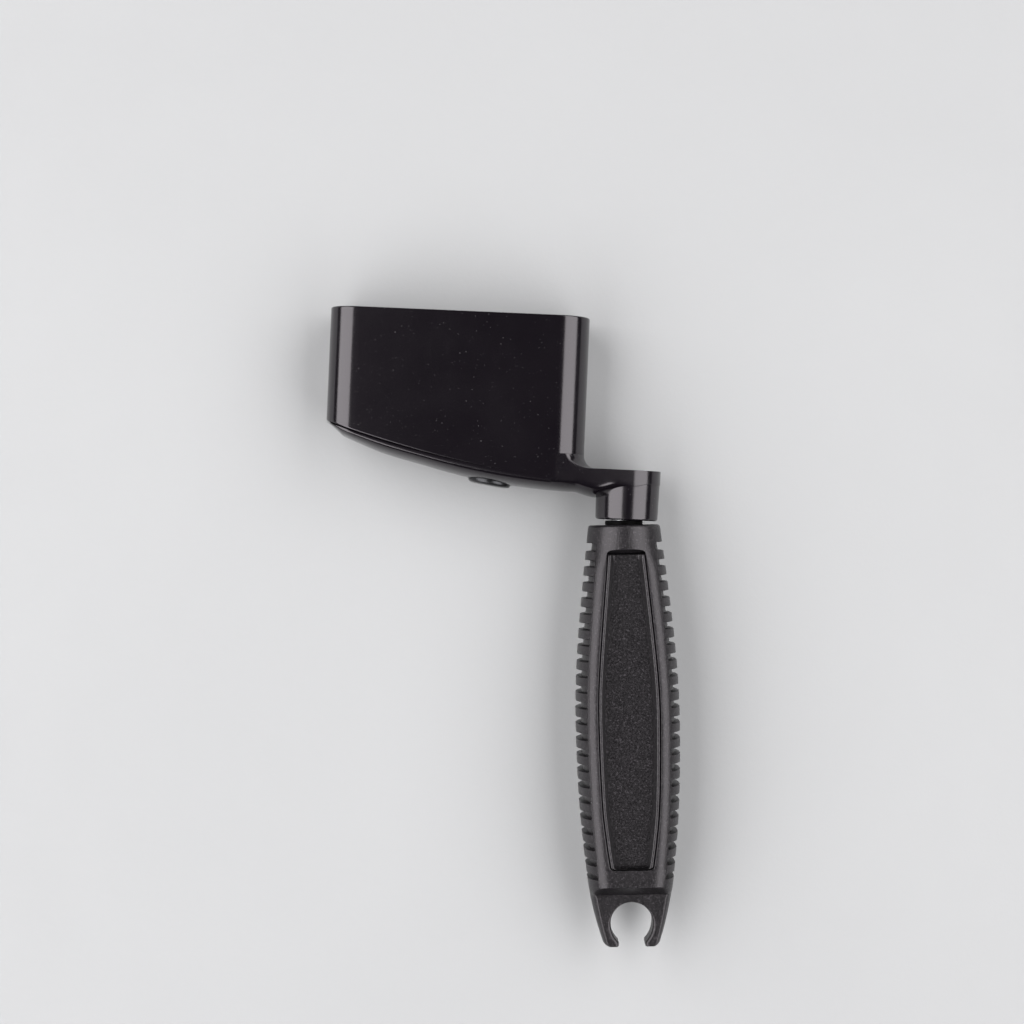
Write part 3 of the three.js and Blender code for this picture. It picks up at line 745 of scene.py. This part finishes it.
def build_body():
    downs = list(np.linspace(NECK["top"] + NECK["edge"], FORK["step"], 84)) + panel_stops()
    downs += [GRIP["start"] - 0.01, GRIP["start"] + 0.01, GRIP["end"] - 0.01, GRIP["end"] + 0.01]
    rings = []
    start = NECK["top"] + NECK["edge"]
    for a in np.linspace(math.pi / 2, 0, 8)[:-1]:
        down = NECK["top"] + NECK["edge"] * (1 - math.sin(a))
        shrink = 1 - NECK["edge"] * (1 - math.cos(a)) / NECK["radius"]
        rings.append(full_ring(down, [(x * shrink, z * shrink) for x, z in body_section(start, False)]))
    for down in sorted(set(downs)):
        rings.append(full_ring(down, body_section(down, False)))
    fork = [FORK["step"] + 0.03] + list(np.linspace(FORK["step"] + 0.2, FORK["wall"], 10))
    fork += list(np.linspace(FORK["wall"] + 0.1, FORK["floor"], 6))
    fork += list(np.linspace(FORK["floor"] + 0.4, FORK["end"] - FORK["corner"], 16))
    for down in fork:
        rings.append(full_ring(down, body_section(down, True)))
    corner = FORK["corner"]
    for a in np.linspace(0.15, math.pi / 2, 10):
        down = FORK["end"] - corner + corner * math.sin(a)
        shrink = 1 - corner * (1 - math.cos(a)) / half_width(down) * 0.85
        end_edge = FORK["edge"] * ease((a - 1.1) / 0.47)
        section = body_section(down, True)
        rings.append(full_ring(down, [(x * shrink, z - min(end_edge, z)) for x, z in section]))
    made = loft("handle_moulding", rings, in_handle)
    made = combine(made, notch_form(), "DIFFERENCE")
    bearing_end, r = BORE["bearing_end"], BORE["radius"]
    profile = [(0, -2), (BORE["bearing"], -2), (BORE["bearing"], bearing_end), (r, bearing_end)]
    profile += [(r, BORE["end"]), (0, BORE["end"])]
    return tidy(combine(made, turned("bore_form", profile, in_handle, 64), "DIFFERENCE"))


def notch_form():
    """The notch's cutter, swelling towards both faces so that it leaves a rounded edge."""
    r = NOTCH["round"]
    front = [[(x, down, NOTCH["clear"]) for x, down in notch_outline(r)]]
    for a in quarter(7)[::-1]:
        below = r * (1 - math.sin(a))
        front.append([(x, down, fork_top(max(down, FORK["floor"])) - below)
                      for x, down in notch_outline(r * (1 - math.cos(a)))])
    back = [[(x, down, -z) for x, down, z in ring] for ring in front[::-1]]
    return loft("notch_form", front + back, in_handle)


def notch_outline(grow):
    """The notch seen from the front: round above, longer below, with a mouth that flares slightly."""
    radius, long, mouth = NOTCH["radius"] + grow, NOTCH["long"] + grow, NOTCH["mouth"] + grow
    opens = math.asin(mouth / radius)
    ring = []
    for a in np.linspace(opens, 2 * math.pi - opens, 80):
        less = 0.6 * grow * ease(-math.cos(a) + 0.3)
        reach = (long if math.cos(a) > 0 else radius) - less
        ring.append(((radius - less) * math.sin(a), NOTCH["at"] + reach * math.cos(a)))
    flare = NOTCH["flare"]
    lip = [(mouth + flare * (1 - math.cos(a)), FORK["end"] - flare + flare * math.sin(a))
           for a in np.linspace(0, math.pi / 2, 7)]
    ring += [(-x, down) for x, down in lip] + [(-lip[-1][0], FORK["end"] + 3)]
    return ring + [(lip[-1][0], FORK["end"] + 3)] + lip[::-1]


def build_inlay(name, side):
    """A panel: a flat floor between two rounded lips, square at the top, with a trench at its foot."""
    rings = []
    gap = PANEL["gap"]
    start, end = PANEL["start"] + gap + PANEL["top_gap"], PANEL["end"] - gap
    trench = end - PANEL["foot_gap"]
    downs = [start, start + 0.06, start + PANEL["edge"]] + list(np.linspace(start + 0.5, trench - 0.5, 64))
    downs += [trench - 0.16, trench - 0.05, trench + 0.05]
    downs += [end - PANEL["foot"] * (1 - math.cos(a)) for a in np.linspace(0.12, math.pi / 2, 14)]
    for down in sorted(set(downs)):
        half = panel_half(down, gap)
        crown, middle = front_point(down, half), front_point(down, 0)
        base = middle - PANEL["depth"] + PANEL["bed_gap"]
        edge = PANEL["edge"] * (1 - ease((down - start) / PANEL["edge"]))
        floor = middle - PANEL["recess"] - edge if down < trench else base + PANEL["trench"]
        bead = min(PANEL["lip"], half * 0.3) / 2
        wall = min(PANEL["wall"], half * 0.4)
        high = crown - 0.02 - edge
        bead_z = max(high - bead, floor + 0.02)
        flat = half - 2 * bead - wall
        right = [(flat * t, floor) for t in (0, 0.25, 0.5, 0.75, 0.95)]
        right += [(flat + wall * t, floor + (bead_z - floor) * t) for t in (0.01, 0.3, 0.55, 0.8)]
        right += [(half - bead - bead * math.cos(a), bead_z + (high - bead_z) * math.sin(a))
                  for a in np.linspace(0, math.pi, 13)]
        right += [(half, base + 0.5 * (bead_z - base)), (half, base)]
        right += [(half * t, base) for t in (0.6, 0.2)]
        left = [(-x, z) for x, z in right[1:]][::-1]
        rings.append([(x, down, side * z) for x, z in right + left])
    return loft(name, rings, in_handle)


# ---- Spindle and bearings ----


def build_spindle():
    r, end, slim = SPINDLE["radius"], SPINDLE["end"], SPINDLE["groove"]
    low, high = SPINDLE["groove_low"], SPINDLE["groove_high"]
    flange, top = SPINDLE["flange"], HUB_LIFT + HUB["height"] - SPINDLE["below_top"]
    under = top - SPINDLE["flange_height"]
    profile = [(0, end), (r - SPINDLE["chamfer"], end), (r - 0.1, end + 0.15), (r, end + 0.4)]
    profile += [(r, low), (slim, low + 0.05), (slim, high - 0.05), (r, high)]
    profile += [(r, under), (flange - 0.1, under), (flange, under + 0.1), (flange, top - 0.45),
                (flange - 0.1, top - 0.2), (flange - 0.4, top - 0.06), (flange - 0.9, top)]
    profile += [(1.0, top), (0.75, top - 0.15), (0, top - 0.2)]
    return turned("spindle_pin", profile, on_axis, 96)


def build_ring(name, low, high, inner=BEARING["inner"], outer=BEARING["outer"]):
    edge = 0.08
    profile = [(inner, low + edge), (inner + edge, low), (outer - edge, low), (outer, low + edge),
               (outer, high - edge), (outer - edge, high), (inner + edge, high), (inner, high - edge)]
    return turned(name, profile, on_axis, 96)


def build_clip():
    made = build_ring("spindle_snap_ring", CLIP["low"], CLIP["high"], CLIP["inner"], CLIP["outer"])
    near, far = CLIP["mouth_from"], CLIP["outer"] + 1.7
    corners = [(sx * CLIP["mouth"], y, z) for y in (CLIP["low"] - 0.6, CLIP["high"] + 0.6)
               for sx, z in ((-1, near), (1, near), (1, far), (-1, far))]
    mouth = add_object("mouth_form", [on_axis(*p) for p in corners], BOX_FACES)
    return tidy(combine(made, tidy(mouth), "DIFFERENCE"))


# ---- Materials ----


def new_material(name):
    material = bpy.data.materials.new(name)
    material.use_nodes = True
    nodes = material.node_tree.nodes
    nodes.clear()
    output = nodes.new("ShaderNodeOutputMaterial")
    shader = nodes.new("ShaderNodeBsdfPrincipled")
    material.node_tree.links.new(shader.outputs["BSDF"], output.inputs["Surface"])
    return material, shader


class Graph:
    """Short names for the nodes that the materials below are made of."""

    def __init__(self, material):
        self.nodes, self.links = material.node_tree.nodes, material.node_tree.links
        self.place = self.nodes.new("ShaderNodeTexCoord").outputs["Object"]

    def noise(self, scale, detail=3.0, rough=0.55, stretch=None):
        node = self.nodes.new("ShaderNodeTexNoise")
        node.inputs["Scale"].default_value = scale
        node.inputs["Detail"].default_value = detail
        node.inputs["Roughness"].default_value = rough
        source = self.place
        if stretch:
            mapping = self.nodes.new("ShaderNodeMapping")
            mapping.inputs["Scale"].default_value = stretch
            self.links.new(self.place, mapping.inputs["Vector"])
            source = mapping.outputs["Vector"]
        self.links.new(source, node.inputs["Vector"])
        return node.outputs["Fac"]

    def cells(self, scale):
        node = self.nodes.new("ShaderNodeTexVoronoi")
        node.inputs["Scale"].default_value = scale
        self.links.new(self.place, node.inputs["Vector"])
        return node.outputs["Distance"]

    def spread(self, value, low, high, out_low=0.0, out_high=1.0):
        node = self.nodes.new("ShaderNodeMapRange")
        node.inputs["From Min"].default_value = low
        node.inputs["From Max"].default_value = high
        node.inputs["To Min"].default_value = out_low
        node.inputs["To Max"].default_value = out_high
        self.links.new(value, node.inputs["Value"])
        return node.outputs["Result"]

    def math(self, operation, a, b):
        node = self.nodes.new("ShaderNodeMath")
        node.operation = operation
        for i, value in enumerate((a, b)):
            if isinstance(value, (int, float)):
                node.inputs[i].default_value = value
            else:
                self.links.new(value, node.inputs[i])
        return node.outputs["Value"]

    def tint(self, share, dark, light):
        node = self.nodes.new("ShaderNodeMix")
        node.data_type = "RGBA"
        node.inputs["A"].default_value = (*dark, 1)
        node.inputs["B"].default_value = (*light, 1)
        self.links.new(share, node.inputs["Factor"])
        return node.outputs["Result"]

    def bump(self, height, strength, distance, under=None):
        node = self.nodes.new("ShaderNodeBump")
        node.inputs["Strength"].default_value = strength
        node.inputs["Distance"].default_value = distance
        self.links.new(height, node.inputs["Height"])
        if under is not None:
            self.links.new(under, node.inputs["Normal"])
        return node.outputs["Normal"]

    def edges(self):
        """How far a place stands out from its surroundings: 0 on flats, towards 1 on edges."""
        geometry = self.nodes.new("ShaderNodeNewGeometry")
        return self.spread(geometry.outputs["Pointiness"], 0.52, 0.62)


SHEEN_TINT = (1.0, 0.94, 0.985, 1)


def gloss_plastic():
    material, shader = new_material("head_gloss")
    g = Graph(material)
    cloud = g.noise(90, 4)
    specks = g.spread(g.noise(4200, 1.0, 0.4), 0.785, 0.82)
    worn = g.math("MULTIPLY", g.edges(), g.noise(700, 2))
    share = g.math("MAXIMUM", g.math("MULTIPLY", specks, 0.3), g.math("MULTIPLY", worn, 0.08))
    g.links.new(g.tint(share, (0.0026, 0.0019, 0.0029), (0.12, 0.115, 0.12)), shader.inputs["Base Color"])
    scuffs = g.noise(420, 4, 0.7, stretch=(1.0, 0.16, 1.0))
    rough = g.math("ADD", g.spread(cloud, 0.3, 0.7, 0.15, 0.20), g.spread(scuffs, 0.6, 0.85, 0.0, 0.04))
    g.links.new(g.math("ADD", rough, g.math("MULTIPLY", specks, 0.4)), shader.inputs["Roughness"])
    peel = g.bump(g.noise(520, 2), 0.05, 0.00012)
    g.links.new(g.bump(specks, 0.25, 0.00006, peel), shader.inputs["Normal"])
    shader.inputs["Specular IOR Level"].default_value = 0.55
    shader.inputs["Specular Tint"].default_value = SHEEN_TINT
    return material


def spark_plastic(name, dark, light, rough, grain=3300, height=0.00004, shine=0.35):
    """Moulded plastic with the fine pitted texture of a spark-eroded mould, and light flecks in its colour
    painted as glints off that texture.
    """
    material, shader = new_material(name)
    g = Graph(material)
    fine = g.noise(grain, 2, 0.6)
    pits = g.cells(grain * 0.8)
    mottle = g.noise(grain * 0.12, 3)
    # Light flecks in the base colour: painted glints off the grain's facets.
    painted_glint_flecks = g.spread(g.noise(grain * 0.9, 1, 0.5), 0.57, 0.72)
    share = g.math("MULTIPLY", g.spread(fine, 0.38, 0.64), 0.12)
    share = g.math("ADD", share, g.math("MULTIPLY", mottle, 0.05))
    share = g.math("ADD", share, g.math("MULTIPLY", painted_glint_flecks, 0.7))
    share = g.math("ADD", share, g.math("MULTIPLY", g.edges(), 0.3))
    g.links.new(g.tint(share, dark, light), shader.inputs["Base Color"])
    g.links.new(g.spread(fine, 0.35, 0.65, rough - 0.04, rough + 0.06), shader.inputs["Roughness"])
    coarse = g.bump(pits, 0.35, height)
    g.links.new(g.bump(fine, 0.55, height, coarse), shader.inputs["Normal"])
    shader.inputs["Specular IOR Level"].default_value = shine
    shader.inputs["Specular Tint"].default_value = SHEEN_TINT
    return material


def turned_metal(name, dark, light, rough, metallic):
    material, shader = new_material(name)
    g = Graph(material)
    lines = g.noise(500, 4, 0.65, stretch=(1, 22, 1))
    g.links.new(g.tint(lines, dark, light), shader.inputs["Base Color"])
    g.links.new(g.spread(lines, 0.3, 0.7, rough - 0.06, rough + 0.08), shader.inputs["Roughness"])
    g.links.new(g.bump(lines, 0.25, 0.00004), shader.inputs["Normal"])
    shader.inputs["Metallic"].default_value = metallic
    return material


def floor_paint():
    material, shader = new_material("floor_paint")
    g = Graph(material)
    colour = g.tint(g.noise(14, 4), (0.245, 0.245, 0.249), (0.262, 0.262, 0.266))
    g.links.new(colour, shader.inputs["Base Color"])
    g.links.new(g.spread(g.noise(60, 3), 0.3, 0.7, 0.62, 0.72), shader.inputs["Roughness"])
    g.links.new(g.bump(g.noise(900, 3), 0.12, 0.0002), shader.inputs["Normal"])
    return material


# ---- Assembly ----

head_gloss = gloss_plastic()
handle_texture = spark_plastic("handle_texture", (0.0018, 0.0016, 0.0019), (0.028, 0.025, 0.028), 0.34)
grip_ribs = spark_plastic("grip_ribs", (0.002, 0.0018, 0.0021), (0.026, 0.0235, 0.026), 0.36)
# The panels' plastic is the handle's, with a darker base colour as painted shade of the recess they lie in.
panel_texture_painted_shade = spark_plastic("panel", (0.001, 0.0009, 0.0011), (0.026, 0.0235, 0.026), 0.32)
# Black plastic made still darker and almost without sheen: painted shade of the gap between hub and handle,
# where the thrust ring sits.
bearing_black = spark_plastic("bearing_black", (0.0008, 0.0008, 0.0009), (0.003, 0.003, 0.0032), 0.5,
                              grain=6000, height=0.00002, shine=0.05)
screw_dark = turned_metal("screw_dark", (0.012, 0.012, 0.013), (0.05, 0.05, 0.053), 0.28, 0.9)
spindle_steel = turned_metal("spindle_steel", (0.42, 0.42, 0.43), (0.62, 0.62, 0.63), 0.28, 1.0)

finish_piece(build_cup(), "head", head_gloss, ["socket_cup"])
finish_piece(build_boss(), "head", head_gloss, [])
finish_piece(build_arm(), "head", head_gloss, ["crank_arm"])
finish_piece(build_screw(), "head", screw_dark, ["cup_screw"])
finish_piece(build_spindle(), "head", spindle_steel, ["spindle"])
# The thrust ring's material carries painted shade for the shaded gap it fills.
thrust_ring = build_ring("thrust_ring", *THRUST_RING)
finish_piece(thrust_ring, "head", bearing_black, ["thrust_collar"])
clip_spacer = build_ring("clip_spacer", SPACER["low"], SPACER["high"], outer=SPACER["outer"])
finish_piece(clip_spacer, "head", spindle_steel, ["clip_washer"])
finish_piece(build_clip(), "head", spindle_steel, ["spindle_clip"])
finish_piece(build_body(), "handle", handle_texture, ["handle_body"])
finish_piece(build_grip("left_ribs", -1), "handle", grip_ribs, ["left_grip"])
finish_piece(build_grip("right_ribs", 1), "handle", grip_ribs, ["right_grip"])
finish_piece(build_inlay("front_panel", 1), "handle", panel_texture_painted_shade, ["front_inlay"])
finish_piece(build_inlay("rear_panel", -1), "handle", panel_texture_painted_shade, ["rear_inlay"])
upper_bearing = build_ring("upper_bearing", *UPPER_BEARING)
finish_piece(upper_bearing, "handle", bearing_black, ["upper_bush"])
lower_bearing = build_ring("lower_bearing", *LOWER_BEARING)
finish_piece(lower_bearing, "handle", bearing_black, ["lower_bush"])

# ---- Floor, lights and camera ----

CENTRE = Vector((HINGE.x - 20.3 * MM, HINGE.y + 3.1 * MM, HINGE.z))
VIEW_WIDTH = 186.2 * MM
VIEW_DISTANCE = 0.36
VIEW_TILT = math.radians(1.04)

FLOOR_REACH = 1.6
FLOOR_LEVEL = -5e-5
BOX_DISTANCE = 0.62

floor_corners = [(sx * FLOOR_REACH, sy * FLOOR_REACH, FLOOR_LEVEL)
                 for sx, sy in ((-1, -1), (1, -1), (1, 1), (-1, 1))]
floor = add_object("floor", floor_corners, [(0, 1, 2, 3)])
floor.data.materials.append(floor_paint())


def softbox(name, off_vertical, across, along, radiance):
    """A rectangular light facing the object, leaning off_vertical from straight above it."""
    light = bpy.data.lights.new(name, "AREA")
    light.shape = "RECTANGLE"
    light.size, light.size_y = across, along
    light.energy = radiance * math.pi * across * along
    made = bpy.data.objects.new(name, light)
    aim = Vector((math.sin(off_vertical), 0, math.cos(off_vertical)))
    made.location = Vector((HINGE.x, CENTRE.y, HINGE.z)) + aim * BOX_DISTANCE
    made.rotation_euler = Euler((0, off_vertical, 0))
    bpy.context.scene.collection.objects.link(made)


softbox("left_box", math.radians(-47.5), 0.62, 1.5, 5.2)
softbox("left_spill", math.radians(-15.5), 0.16, 1.5, 0.26)
softbox("right_box", math.radians(44.5), 0.58, 1.5, 4.9)

world = bpy.data.worlds.new("studio")
world.use_nodes = True
background = world.node_tree.nodes["Background"]
background.inputs["Color"].default_value = (0.9, 0.92, 1.0, 1)
background.inputs["Strength"].default_value = 0.03
bpy.context.scene.world = world

camera_data = bpy.data.cameras.new("camera")
camera_data.sensor_width = 36
camera_data.lens = 36 * VIEW_DISTANCE / VIEW_WIDTH
camera_data.clip_start = 0.01
camera = bpy.data.objects.new("camera", camera_data)
camera.location = CENTRE + Vector((0, 0, VIEW_DISTANCE))
camera.rotation_euler = Euler((0, 0, -VIEW_TILT))
bpy.context.scene.collection.objects.link(camera)
bpy.context.scene.camera = camera
bpy.context.scene.view_settings.view_transform = "Standard"
